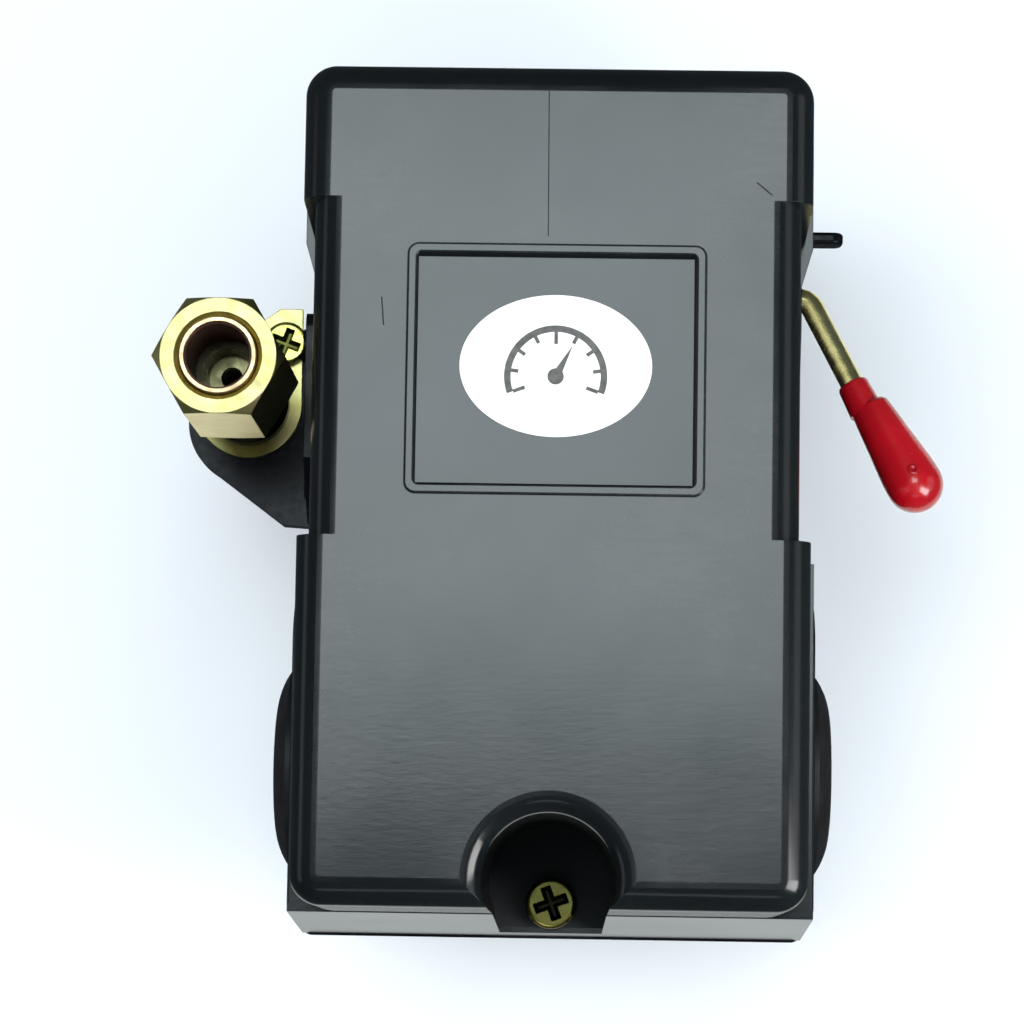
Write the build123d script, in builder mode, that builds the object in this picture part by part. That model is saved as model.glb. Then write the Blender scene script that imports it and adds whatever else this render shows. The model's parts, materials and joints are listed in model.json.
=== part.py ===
from build123d import *
import math
import os

# Pressure switch for an air compressor: a four-port manifold, a diaphragm and a spring-loaded
# rocker that works the contacts and the unloader valve, under a moulded cover.
# Millimetres. +Z is up, the cable entries are at the -Y end, the hand lever is on the +X side.
# The origin is the centre of the main port's mouth, at the underside of the manifold.

# ---- driving dimensions ------------------------------------------------------------------
plate_z = 36.0            # underside of the steel frame's base plate
plate_t = 2.0
sheet_t = 1.5             # side walls, ears and lugs of the frame
frame_x = 33.8            # half width over the side walls
frame_front_y = -59.3
wall_rear_y = -15.7       # where the side walls end
wall_top_z = 64.6
plate_rear_y = 48.6
ear_x = 31.8              # half width over the middle ears
ear_front_y, ear_rear_y = -6.0, 29.6
ear_top_z = 63.0

cover_top = 96.0
shoulder_z = 66.0         # where the cover widens below
cover_skirt_z = 38.4
cover_wall = 2.0
cover_x = 31.9            # half width at the shoulder, before draft
cover_front_y, cover_rear_y = -56.2, 48.3
cover_draft = 1.0         # degrees
cover_round = 3.5         # rounding of the top edges
cover_corner = 4.4
waist_x = 29.9            # half width of the narrow middle
waist_front_y, waist_rear_y = -10.8, 30.9
ledge_x = 33.4
ledge_z = 64.8
ledge_top_z = 67.0
skirt_x, skirt_rear_y = 32.1, -50.5
apron_x, apron_t = 33.6, 1.0        # sloping front of the skirt, which laps the frame's walls
apron_foot_y, apron_head_y = -59.0, -56.3
hollow_front_y = -54.6
skirt_wall = 2.0
tail_x, tail_rear_y, tail_front_y = 33.0, 48.9, 30.3   # wide lower part at the lever end
label_y0, label_y1, label_x = -5.7, 25.2, 18.3
label_rim, label_rise, label_depth = 1.2, 0.45, 0.5
rim_round = 0.25          # rounding of the border's top edges
label_oval_x, label_oval_y, label_mid_y = 11.75, 8.75, 10.2   # printed oval: half axes and place

well_y, well_r, well_flare = -52.2, 8.1, 2.6           # recess for the cover screw
well_throat = 6.3         # half width of the recess at the front
well_mouth_y = -61.0      # the recess runs out past the front
well_floor_z = 43.4
panel_front_y = -23.5     # where the side panels start, clear of the grommets
cover_screw_y = -54.6

grommet_y, grommet_z, grommet_r = -37.4, 51.2, 13.1
grommet_hole_r = 10.5
grommet_proud = 2.4       # how far the grommets stand out of the side walls
cable_r = 5.0

port_r, port_depth = 5.72, 11.0     # quarter-inch pipe thread, minor radius
manifold_reach, side_port_z, side_bore_r = 27.0, 14.0, 2.6
flange_half = 27.0
flange_z = 26.0
flange_bolt = 21.0
diaphragm_r = 25.0
diaphragm_t = 2.0

pivot_y, pivot_z, pin_r = 38.0, 47.2, 2.0
rocker_z, rocker_t, rocker_x = 43.5, 1.5, 16.0
rocker_front_y, rocker_rear_y = -23.5, 41.0
arm_drop = 3.9            # how far the unloader arm is cranked below the rocker
arm_reach_x = -45.0
piston_r = 9.0
range_y, range_r = 13.5, 3.0        # range stud and main spring
seat_z = 76.0
diff_x, diff_y, diff_r = 11.0, -5.5, 2.0
diff_seat_z = 60.0

lever_y, lever_z, rod_r = 25.9, 54.0, 1.55
lever_bend_x = 33.2
lever_bend_r = 2.3
handle_run = (0.488, -1.0, 0.241)   # direction of the bent part of the rod
handle_length = 24.0                # from the bend to the rod's end, inside the grip
lever_tip = (46.9, 0.6, 60.0)       # centre of the round end of the grip
grip_back = (33.2, 25.5, 54.0)      # the grip's own axis runs from here to its tip
collar_start, collar_end = 13.4, 17.6   # thin mouth of the grip, measured along the rod
grip_start, grip_length = 16.7, 29.05   # fat part of the grip, along its own axis
cap_r = 3.75

valve_x, valve_y = -41.9, 11.85
shelf_z, shelf_t = 43.0, 2.0        # underside of the bracket's shelf
valve_flange_t = 1.6
nut_af, nut_z0, nut_z1 = 14.5, 66.8, 90.0
seat_top_z = 77.4                   # top of the valve body, where the ferrule sits
ferrule_r, tube_r = 4.98, 4.0
bracket_x = -33.3                   # outer face of the bracket's upright
valve_screw_x, valve_screw_y = -36.9, 20.1
rivet_head = 0.5

block_x, block_y0, block_y1 = 23.0, -40.5, -13.0
block_z1, barrier_z1 = 52.0, 62.0
pole_x = (-16.5, -5.5, 5.5, 16.5)
terminal_y, contact_y = -34.0, -19.0
earth_x, earth_y = 24.5, -49.6
foot_x, foot_y, foot_t = 26.2, -20.0, 4.0   # feet of the contact block
clear = 0.05                        # running clearance

os.makedirs("parts", exist_ok=True)


def save(built, name):
    built.part.label = name
    export_step(built.part, f"parts/{name}.step")


def box(x0, x1, y0, y1, z0, z1, mode=Mode.ADD):
    """A block between two corners, inside the current part."""
    with Locations(((x0 + x1) / 2, (y0 + y1) / 2, (z0 + z1) / 2)):
        Box(x1 - x0, y1 - y0, z1 - z0, mode=mode)


def rod(x, y, z0, z1, r, mode=Mode.ADD):
    """An upright cylinder between two heights."""
    with Locations((x, y, (z0 + z1) / 2)):
        Cylinder(r, z1 - z0, mode=mode)


def cross_rod(x0, x1, y, z, r, mode=Mode.ADD):
    """A cylinder lying along X."""
    with Locations(((x0 + x1) / 2, y, z)):
        Cylinder(r, x1 - x0, rotation=(0, 90, 0), mode=mode)


def pan_screw(x, y, seat, head_r, head_h, shank_r, tip, turn=20):
    """A pan-head screw standing point down, with a cross recess turned by some degrees."""
    top = seat + head_h
    profile = [(x, tip), (x + shank_r - 0.3, tip), (x + shank_r, tip + 0.3), (x + shank_r, seat),
               (x + head_r, seat), (x + head_r, seat + head_h * 0.7)]
    with BuildSketch(Plane.XZ.offset(-y)) as half:
        with BuildLine():
            Polyline(*profile)
            ThreePointArc(profile[-1], (x + head_r * 0.95, seat + head_h * 0.92), (x + head_r * 0.83, top))
            Polyline((x + head_r * 0.83, top), (x, top), profile[0])
        make_face()
    revolve(half.sketch, axis=Axis((x, y, 0), (0, 0, 1)))
    wing, reach, depth = head_r * 0.4, head_r * 1.36, head_h * 0.85
    with BuildSketch(Plane.XY.offset(top)) as recess:
        with Locations(Location((x, y, 0), (0, 0, turn))):
            Rectangle(reach, wing)
            Rectangle(wing, reach)
    extrude(recess.sketch, amount=-depth, taper=12, mode=Mode.SUBTRACT)


def coil_spring(x, y, z0, z1, mean_r, wire_r, turns):
    """A compression spring between two seats."""
    height = z1 - z0 - 2 * wire_r
    path = Helix(height / turns, height, mean_r, center=(x, y, z0 + wire_r))
    with BuildPart() as spring:
        with BuildSketch(Plane(origin=path @ 0, z_dir=path % 0)):
            Circle(wire_r)
        sweep(path=path, is_frenet=True)
    return spring


# ---- manifold and diaphragm ---------------------------------------------------------------
with BuildPart() as manifold:
    rod(0, 0, 0, flange_z, 12.5)
    box(-flange_half, flange_half, -flange_half, flange_half, flange_z, plate_z)
    fillet(edges().filter_by(Axis.Z).filter_by(GeomType.LINE), 6)
    cross_rod(-manifold_reach, manifold_reach, 0, side_port_z, 9.6)
    with BuildSketch(Plane.XZ.offset(-manifold_reach)):
        with Locations((0, side_port_z)):
            Circle(9.6)
    extrude(amount=manifold_reach)
    fillet(edges().filter_by(GeomType.CIRCLE).group_by(Axis.Z)[0], 0.8)
    rod(0, 0, 32.0, plate_z, 15.0, Mode.SUBTRACT)
    rod(0, 0, plate_z - diaphragm_t, plate_z, diaphragm_r + 0.1, Mode.SUBTRACT)
    rod(0, 0, 0, 32.0, 3.5, Mode.SUBTRACT)
    rod(0, 0, 0, port_depth, port_r, Mode.SUBTRACT)
    cross_rod(-manifold_reach + 1, manifold_reach - 1, 0, side_port_z, side_bore_r, Mode.SUBTRACT)
    for side in (-1, 1):
        outer = side * manifold_reach
        inner = side * (manifold_reach - port_depth)
        cross_rod(min(outer, inner), max(outer, inner), 0, side_port_z, port_r, Mode.SUBTRACT)
    for reach, r in ((manifold_reach, side_bore_r), (port_depth, port_r)):
        with BuildSketch(Plane.XZ.offset(-manifold_reach)):
            with Locations((0, side_port_z)):
                Circle(r)
        extrude(amount=reach, mode=Mode.SUBTRACT)
    with GridLocations(2 * flange_bolt, 2 * flange_bolt, 2, 2):
        Cylinder(2.2, 200, mode=Mode.SUBTRACT)
save(manifold, "manifold")

with BuildPart() as diaphragm:
    rod(0, 0, plate_z - diaphragm_t, plate_z, diaphragm_r)
    with BuildSketch(Plane.XZ):
        with Locations((12.0, plate_z - diaphragm_t)):
            Circle(0.9)
    revolve(axis=Axis.Z, mode=Mode.SUBTRACT)
save(diaphragm, "diaphragm")

with BuildPart() as flange_screws:
    for x in (-flange_bolt, flange_bolt):
        for y in (-flange_bolt, flange_bolt):
            rod(x, y, flange_z, plate_z + plate_t, 1.98)
            with BuildSketch(Plane.XY.offset(flange_z - 2.6)):
                with Locations((x, y)):
                    RegularPolygon(3.5, 6, major_radius=False)
            extrude(amount=2.6)
save(flange_screws, "flange_screws")


def apron_y(z):
    """The sloping front face of the cover's skirt at a height."""
    share = (z - cover_skirt_z) / (ledge_top_z - cover_skirt_z)
    return apron_foot_y + share * (apron_head_y - apron_foot_y)


# ---- steel frame --------------------------------------------------------------------------
lap = apron_t + 0.3       # the side walls stop behind the cover's apron
hook_y, hook_z0, hook_z1, hook_x = 35.1, 46.0, 50.2, 38.1
hook_half = 0.8
window = (valve_y - 4.2, valve_y + 4.2, 38.9, 43.2)    # opening for the unloader arm: y0, y1, z0, z1

with BuildPart() as frame:
    with BuildSketch(Plane.XY.offset(plate_z)):
        with BuildLine():
            Polyline((-frame_x, frame_front_y), (frame_x, frame_front_y), (frame_x, wall_rear_y),
                     (ear_x, wall_rear_y), (ear_x, plate_rear_y), (-ear_x, plate_rear_y),
                     (-ear_x, wall_rear_y), (-frame_x, wall_rear_y), close=True)
        make_face()
    extrude(amount=plate_t)
    fillet(edges().filter_by(Axis.Z).group_by(Axis.Y)[0], 1.5)
    for side in (-1, 1):
        with BuildSketch(Plane.YZ.offset(side * frame_x - (sheet_t if side > 0 else 0))):
            with BuildLine():
                Polyline((apron_y(plate_z + plate_t) + lap, plate_z + plate_t),
                         (apron_y(wall_top_z) + lap, wall_top_z),
                         (wall_rear_y, wall_top_z), (wall_rear_y, plate_z + plate_t), close=True)
            make_face()
            fillet(vertices().group_by(Axis.Y)[-1].sort_by(Axis.Z)[-1], 6)
        extrude(amount=sheet_t)
        with BuildSketch(Plane.YZ.offset(side * ear_x - (sheet_t if side > 0 else 0))):
            with BuildLine():
                Polyline((ear_front_y, plate_z + plate_t), (ear_front_y + 4, ear_top_z - 9),
                         (ear_rear_y - 9, ear_top_z), (ear_rear_y, ear_top_z),
                         (ear_rear_y, plate_z + plate_t), close=True)
            make_face()
            fillet(vertices().group_by(Axis.Z)[-1], 3)
        extrude(amount=sheet_t)
        lug = side * (rocker_x + 2.5)
        with BuildSketch(Plane.YZ.offset(lug - (0 if side > 0 else sheet_t))):
            with Locations((pivot_y, pivot_z)):
                Circle(4.5)
            with Locations((pivot_y, (pivot_z + plate_z + plate_t) / 2)):
                Rectangle(9, pivot_z - plate_z - plate_t)
        extrude(amount=sheet_t)
    box(29.2, 30.7, 32.6, 38.0, plate_z + plate_t, hook_z1 + 2)
    box(30.2, hook_x, hook_y - hook_half, hook_y + hook_half, hook_z0, hook_z1)
    fillet(edges().filter_by(Axis.Y).group_by(Axis.X)[-1], 1.4)
    fillet(edges().filter_by(Axis.Z).group_by(Axis.X)[-1], 0.5)
    cross_rod(-60, 60, lever_y, lever_z, rod_r + 0.07, Mode.SUBTRACT)
    cross_rod(-25, 25, pivot_y, pivot_z, pin_r + 0.02, Mode.SUBTRACT)
    cross_rod(-60, 60, grommet_y, grommet_z, grommet_hole_r, Mode.SUBTRACT)
    box(-ear_x - 1, -ear_x + 3, *window, Mode.SUBTRACT)
    rod(0, 0, plate_z, plate_z + plate_t, piston_r + 0.3, Mode.SUBTRACT)
    rod(0, range_y, plate_z, plate_z + plate_t, range_r, Mode.SUBTRACT)
    rod(diff_x, diff_y, plate_z, plate_z + plate_t, diff_r, Mode.SUBTRACT)
    rod(0, cover_screw_y, plate_z, plate_z + plate_t, 2.0, Mode.SUBTRACT)
    for side in (-1, 1):
        rod(side * earth_x, earth_y, plate_z, plate_z + plate_t, 2.0, Mode.SUBTRACT)
        rod(side * foot_x, foot_y, plate_z, plate_z + plate_t, 1.75, Mode.SUBTRACT)
    with GridLocations(2 * flange_bolt, 2 * flange_bolt, 2, 2):
        Cylinder(2.0, 200, mode=Mode.SUBTRACT)
save(frame, "frame")

with BuildPart() as earth_screws:
    for x in (-earth_x, earth_x):
        pan_screw(x, earth_y, plate_z + plate_t + 0.8, 3.6, 2.4, 1.98, plate_z)
        rod(x, earth_y, plate_z + plate_t, plate_z + plate_t + 0.8, 4.3)
save(earth_screws, "earth_screws")

# ---- cover --------------------------------------------------------------------------------
mid_y = (cover_front_y + cover_rear_y) / 2
length_y = cover_rear_y - cover_front_y

with BuildPart() as outer:
    with BuildSketch(Plane.XY.offset(shoulder_z)):
        with Locations((0, mid_y)):
            RectangleRounded(2 * cover_x, length_y, cover_corner)
    extrude(amount=cover_top - shoulder_z, taper=cover_draft)
    fillet(faces().sort_by(Axis.Z)[-1].edges(), cover_round)
    for side in (-1, 1):
        box(min(side * 24, side * 40), max(side * 24, side * 40), waist_front_y, waist_rear_y,
            shoulder_z - 1, cover_top + 1, Mode.SUBTRACT)
    draft_run = (cover_top - shoulder_z) * math.tan(math.radians(cover_draft))
    with BuildSketch(Plane.XZ.offset(-waist_rear_y)):
        with BuildLine():
            Polyline((-waist_x - draft_run, shoulder_z), (-waist_x, cover_top),
                     (waist_x, cover_top), (waist_x + draft_run, shoulder_z), close=True)
        make_face()
        fillet(vertices().group_by(Axis.Y)[-1], cover_round)
    extrude(amount=waist_rear_y - waist_front_y)
    # ledge along the sides of the cable end
    box(-ledge_x, ledge_x, apron_y(ledge_z) + 0.2, waist_front_y, ledge_z, ledge_top_z)
    # front skirt below the ledge, with its sloping apron
    with BuildSketch(Plane.YZ.offset(-skirt_x)) as skirt:
        with BuildLine():
            Polyline((apron_foot_y, cover_skirt_z), (apron_head_y, ledge_top_z), (skirt_rear_y, ledge_top_z),
                     (skirt_rear_y, cover_skirt_z), close=True)
        make_face()
    extrude(skirt.sketch, amount=2 * skirt_x)
    with BuildSketch(Plane.YZ.offset(-apron_x)) as apron:
        with BuildLine():
            Polyline((apron_foot_y, cover_skirt_z), (apron_head_y, ledge_top_z),
                     (apron_head_y + apron_t, ledge_top_z),
                     (apron_foot_y + apron_t, cover_skirt_z), close=True)
        make_face()
    extrude(apron.sketch, amount=2 * apron_x)
    # block round the well's foot, then side panels behind the frame's walls and inside its ears
    box(-well_r - cover_wall, well_r + cover_wall, skirt_rear_y - 1, well_y + well_r + cover_wall,
        cover_skirt_z, ledge_z)
    box(-skirt_x, skirt_x, panel_front_y, waist_front_y, cover_skirt_z, ledge_z)
    box(-waist_x, waist_x, waist_front_y, tail_front_y + 1, cover_skirt_z, shoulder_z)
    # wide lower part at the lever end
    with BuildSketch(Plane.XY.offset(cover_skirt_z)) as tail:
        with Locations((0, (tail_front_y + tail_rear_y) / 2)):
            Rectangle(2 * tail_x, tail_rear_y - tail_front_y)
        fillet(vertices().group_by(Axis.Y)[-1], 5)
    extrude(tail.sketch, amount=ledge_top_z - cover_skirt_z)
    # tapering lips from the lower part into the waist
    for side in (-1, 1):
        with BuildSketch(Plane.XY.offset(63.5)) as lip:
            with BuildLine():
                Polyline((side * tail_x, tail_front_y + 1), (side * tail_x, tail_front_y),
                         (side * 31.5, 25.2), (side * 29.0, 25.2),
                         (side * 29.0, tail_front_y + 1), close=True)
            make_face()
        extrude(lip.sketch, amount=ledge_top_z - 63.5)

# raised border of the label panel
label_length = label_y1 - label_y0
with BuildPart() as border:
    with BuildSketch(Plane.XY.offset(cover_top - label_depth)):
        with Locations((0, (label_y0 + label_y1) / 2)):
            RectangleRounded(2 * label_x, label_length, 1.4)
            RectangleRounded(2 * (label_x - label_rim), label_length - 2 * label_rim, 0.6,
                             mode=Mode.SUBTRACT)
    extrude(amount=label_depth + label_rise)
    fillet(edges().group_by(Axis.Z)[-1], rim_round)

with BuildPart() as well_boss:
    with BuildSketch(Plane.XY.offset(well_floor_z - cover_wall)):
        with Locations((0, well_y)):
            Circle(well_r + cover_wall)
        with BuildLine():
            Polyline((-well_r - cover_wall, well_y), (well_r + cover_wall, well_y),
                     (well_throat + cover_wall, well_mouth_y), (-well_throat - cover_wall, well_mouth_y),
                     close=True)
        make_face()
    extrude(amount=cover_top - 1 - well_floor_z + cover_wall)

with BuildPart() as cavity:
    box(-waist_x + cover_wall, waist_x - cover_wall, cover_front_y + 2.3, cover_rear_y - 2.3,
        30, cover_top - cover_wall)
    wide = cover_x - 2.5
    box(-wide, wide, cover_front_y + 2.3, waist_front_y - cover_wall, 30, cover_top - cover_wall)
    box(-wide, wide, waist_rear_y + cover_wall, cover_rear_y - 2.3, 30, cover_top - cover_wall)
    fillet(edges().group_by(Axis.Z)[-1], 1.6)
    hollow_x, hollow_rear_x = skirt_x - skirt_wall, tail_x - skirt_wall
    box(-hollow_x, hollow_x, hollow_front_y, waist_front_y - cover_wall, 30, ledge_z)
    box(-hollow_rear_x, hollow_rear_x, tail_front_y + cover_wall, tail_rear_y - cover_wall, 30, ledge_z)
    # slots, open below, for the lever's shaft and the unloader arm
    for side in (-1, 1):
        with BuildSketch(Plane.YZ.offset(side * 30 - 3)) as slot:
            with Locations((lever_y, lever_z)):
                Circle(4.2)
            with Locations((lever_y, (lever_z + 30) / 2)):
                Rectangle(8.4, lever_z - 30)
        extrude(slot.sketch, amount=6)
    box(-34, -26, window[0], window[1], 30, window[3] + 0.6)
    add(well_boss.part, mode=Mode.SUBTRACT)

with BuildPart() as well:
    with BuildSketch(Plane.XZ.offset(-well_y)):
        with BuildLine():
            Polyline((0, well_floor_z), (well_r, well_floor_z), (well_r, cover_top - well_flare))
            RadiusArc((well_r, cover_top - well_flare), (well_r + well_flare, cover_top), well_flare)
            Polyline((well_r + well_flare, cover_top), (well_r + well_flare, cover_top + 2),
                     (0, cover_top + 2), (0, well_floor_z))
        make_face()
    revolve(axis=Axis((0, well_y, 0), (0, 0, 1)))
    with BuildSketch(Plane.XY.offset(well_floor_z)):
        with BuildLine():
            Polyline((-well_r, well_y), (well_r, well_y), (well_throat, well_mouth_y),
                     (-well_throat, well_mouth_y), close=True)
        make_face()
    extrude(amount=cover_top + 2 - well_floor_z)
    rod(0, cover_screw_y, 30, well_floor_z + 1, 2.3)

with BuildPart() as cover:
    add(outer.part)
    add(cavity.part, mode=Mode.SUBTRACT)
    add(well.part, mode=Mode.SUBTRACT)
    box(-label_x + label_rim / 2, label_x - label_rim / 2, label_y0 + label_rim / 2, label_y1 - label_rim / 2,
        cover_top - label_depth, cover_top + 1, Mode.SUBTRACT)
    add(border.part)
    box(28, 40, hook_y - 1.3, hook_y + 1.3, hook_z0 - 0.4, hook_z1 + 0.4, Mode.SUBTRACT)
save(cover, "cover")

with BuildPart() as label:
    with BuildSketch(Plane.XY.offset(cover_top - label_depth)):
        with Locations((0, label_mid_y)):
            Ellipse(label_oval_x, label_oval_y)
    extrude(amount=0.15)
save(label, "label")

with BuildPart() as cover_screw:
    pan_screw(0, cover_screw_y, well_floor_z, 3.4, 2.6, 1.98, plate_z)
save(cover_screw, "cover_screw")

# ---- cable grommets -----------------------------------------------------------------------
for name, side in (("grommet_left", -1), ("grommet_right", 1)):
    with BuildPart() as grommet:
        with BuildSketch(Plane.XY):
            with BuildLine():
                # radius, distance outward from the middle of the switch
                line = Polyline((cable_r, 31.0), (11.6, 31.0), (11.6, frame_x - sheet_t - clear),
                                (grommet_hole_r - 0.1, frame_x - sheet_t - clear),
                                (grommet_hole_r - 0.1, frame_x + clear),
                                (grommet_r, frame_x + clear), (grommet_r, frame_x + 0.7))
                ThreePointArc(line @ 1, (10.4, frame_x + grommet_proud - 0.3),
                              (cable_r + 0.6, frame_x + grommet_proud))
                Polyline((cable_r + 0.6, frame_x + grommet_proud), (cable_r, frame_x + grommet_proud - 0.6),
                         (cable_r, 31.0))
            make_face()
        revolve(axis=Axis.Y)
    turned = grommet.part.rotate(Axis.Z, -90 * side)
    with BuildPart() as placed:
        with Locations((0, grommet_y, grommet_z)):
            add(turned)
    save(placed, name)

# ---- rocker, pivot and piston -------------------------------------------------------------
with BuildPart() as rocker:
    rocker_top = rocker_z + rocker_t
    box(-rocker_x, rocker_x, rocker_front_y, rocker_rear_y, rocker_z, rocker_top)
    for side in (-1, 1):
        inner = side * (rocker_x - sheet_t)
        with BuildSketch(Plane.YZ.offset(min(inner, side * rocker_x))):
            with BuildLine():
                Polyline((2, rocker_z), (2, rocker_top + 3.5), (20, rocker_top + 4.5), (23.2, 61.0),
                         (28.2, 61.0), (31.0, rocker_top + 5), (rocker_rear_y, rocker_top + 5),
                         (rocker_rear_y, rocker_z), close=True)
            make_face()
        extrude(amount=sheet_t)
    box(-rocker_x, rocker_x, 23.2, 28.2, 59.6, 61.0)
    cross_rod(-20, 20, pivot_y, pivot_z, pin_r + clear, Mode.SUBTRACT)
    cross_rod(-20, 20, lever_y, lever_z, rod_r + 1.2, Mode.SUBTRACT)
    rod(0, range_y, rocker_z, rocker_top, range_r + 1.2, Mode.SUBTRACT)
    rod(diff_x, diff_y, rocker_z, rocker_top, diff_r + 1.0, Mode.SUBTRACT)
    box(-rocker_x, -rocker_x + sheet_t, valve_y - 3.2, valve_y + 3.2, rocker_z - arm_drop, rocker_z)
    box(arm_reach_x, -rocker_x + sheet_t, valve_y - 3.2, valve_y + 3.2,
        rocker_z - arm_drop, rocker_z - arm_drop + rocker_t)
    fillet(edges().filter_by(Axis.Z).group_by(Axis.X)[0], 2)
save(rocker, "rocker")

with BuildPart() as pivot_pin:
    cross_rod(-21.6, 21.6, pivot_y, pivot_z, pin_r)
    chamfer(edges().filter_by(GeomType.CIRCLE), 0.4)
save(pivot_pin, "pivot_pin")


def ring_clips(x_list, y, z, inner_r, outer_r, thick):
    """Open retaining rings pushed on a shaft along X."""
    with BuildPart() as clips:
        for x in x_list:
            with BuildSketch(Plane.YZ.offset(x - thick / 2)):
                with Locations((y, z)):
                    Circle(outer_r)
                    Circle(inner_r, mode=Mode.SUBTRACT)
                with Locations((y, z - outer_r)):
                    Rectangle(inner_r * 1.3, outer_r * 1.6, mode=Mode.SUBTRACT)
            extrude(amount=thick)
    return clips


save(ring_clips((-20.6, 20.6), pivot_y, pivot_z, pin_r + 0.01, 3.6, 0.7), "pivot_clips")

with BuildPart() as piston:
    rod(0, 0, plate_z + 0.1, 39.0, piston_r)
    rod(0, 0, 39.0, 42.4, 4.5)
    fillet(edges().filter_by(GeomType.CIRCLE).group_by(Axis.Z)[-1], 1.2)
    rod(0, 0, 42.0, rocker_z - 0.3, 1.6)
save(piston, "piston")

# ---- range and differential springs with their studs, seats and nuts ----------------------
with BuildPart() as range_stud:
    rod(0, range_y, plate_z, 88, range_r - 0.02)
    rod(0, range_y, plate_z + plate_t, plate_z + plate_t + 2, 4.0)
    chamfer(edges().filter_by(GeomType.CIRCLE).group_by(Axis.Z)[-1], 0.8)
save(range_stud, "range_stud")

with BuildPart() as range_seat:
    rod(0, range_y, seat_z, seat_z + 1.6, 9.7)
    rod(0, range_y, seat_z + 1.6, seat_z + 2.4, 6.2)
    rod(0, range_y, seat_z - 2.0, seat_z, 6.6)
    rod(0, range_y, seat_z - 3, seat_z + 4, range_r + 0.2, Mode.SUBTRACT)
    fillet(edges().filter_by(GeomType.CIRCLE).group_by(Axis.Z)[0], 0.5)
save(range_seat, "range_seat")


def hex_nut(x, y, z0, height, across, hole_r):
    """A hexagon nut with bevelled corners."""
    with BuildPart() as nut:
        with BuildSketch(Plane.XY.offset(z0)):
            with Locations((x, y)):
                RegularPolygon(across / 2, 6, major_radius=False)
        extrude(amount=height)
        with BuildSketch(Plane.XZ.offset(-y)):
            with BuildLine():
                corner = across / math.sqrt(3)
                Polyline((x, z0), (x + across / 2, z0), (x + corner, z0 + 0.9),
                         (x + corner, z0 + height - 0.9), (x + across / 2, z0 + height),
                         (x, z0 + height), close=True)
            make_face()
        revolve(axis=Axis((x, y, 0), (0, 0, 1)), mode=Mode.INTERSECT)
        rod(x, y, z0 - 1, z0 + height + 1, hole_r, Mode.SUBTRACT)
    return nut


save(hex_nut(0, range_y, seat_z + 2.5, 5.0, 10.0, range_r + 0.03), "range_nut")
save(coil_spring(0, range_y, rocker_z + rocker_t, seat_z, 8.1, 1.0, 5.5), "main_spring")

with BuildPart() as diff_stud:
    rod(diff_x, diff_y, plate_z, 70, diff_r - 0.02)
    rod(diff_x, diff_y, plate_z + plate_t, plate_z + plate_t + 1.5, 2.6)
save(diff_stud, "differential_stud")

with BuildPart() as diff_seat:
    rod(diff_x, diff_y, diff_seat_z, diff_seat_z + 1.2, 4.4)
    rod(diff_x, diff_y, diff_seat_z - 1, diff_seat_z + 2, diff_r + 0.15, Mode.SUBTRACT)
save(diff_seat, "differential_seat")
save(hex_nut(diff_x, diff_y, diff_seat_z + 1.3, 3.2, 7.0, diff_r + 0.03), "differential_nut")
save(coil_spring(diff_x, diff_y, rocker_z + rocker_t, diff_seat_z, 3.3, 0.5, 7), "differential_spring")

# ---- contact block, fixed and moving contacts ---------------------------------------------
with BuildPart() as contact_block:
    box(-block_x, block_x, block_y0, block_y1, plate_z + plate_t, block_z1)
    fillet(edges().filter_by(Axis.Z), 1.2)
    for i in range(5):
        x = -22 + 11 * i
        box(x - 1, x + 1, block_y0, -22.6, block_z1, barrier_z1)
    box(-block_x, block_x, -24.6, -22.6, block_z1 - 0.1, 55.0)
    for side in (-1, 1):
        box(min(side * 22, side * 29), max(side * 22, side * 29), foot_y - 4, foot_y + 4,
            plate_z + plate_t, plate_z + plate_t + foot_t)
        rod(side * foot_x, foot_y, plate_z, plate_z + plate_t + foot_t + 1, 1.9, Mode.SUBTRACT)
    box(-17.5, 17.5, -25.0, block_y1 + 1, plate_z + plate_t - 1, 49.0, Mode.SUBTRACT)
    box(-3.0, 3.0, contact_y - 3, contact_y + 3, 45, block_z1 + 1, Mode.SUBTRACT)
    for x in pole_x:
        box(x - 3.1, x + 3.1, block_y0 + 1.5, contact_y + 3.2, block_z1 - 1.0, 55.1, Mode.SUBTRACT)
        rod(x, terminal_y, 45, block_z1, 1.7, Mode.SUBTRACT)
save(contact_block, "contact_block")

with BuildPart() as block_screws:
    for x in (-foot_x, foot_x):
        pan_screw(x, foot_y, plate_z + plate_t + foot_t, 2.7, 1.9, 1.72, plate_z)
save(block_screws, "block_screws")

strip_z = block_z1 - 0.95
with BuildPart() as fixed_contacts:
    for x in pole_x:
        box(x - 2.7, x + 2.7, block_y0 + 1.6, contact_y + 3.0, strip_z, strip_z + 0.9)
        rod(x, terminal_y, strip_z - 1, strip_z + 1, 1.7, Mode.SUBTRACT)
        rod(x, contact_y, strip_z + 0.9, strip_z + 1.6, 2.0)
save(fixed_contacts, "fixed_contacts")

with BuildPart() as terminal_clamps:
    for x in pole_x:
        box(x - 3.4, x + 3.4, terminal_y - 3.6, terminal_y + 3.6, 55.2, 56.4)
        rod(x, terminal_y, 50, 60, 1.75, Mode.SUBTRACT)
save(terminal_clamps, "terminal_clamps")

with BuildPart() as terminal_screws:
    for x in pole_x:
        pan_screw(x, terminal_y, 56.4, 3.1, 2.2, 1.6, 46.0)
save(terminal_screws, "terminal_screws")

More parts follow.
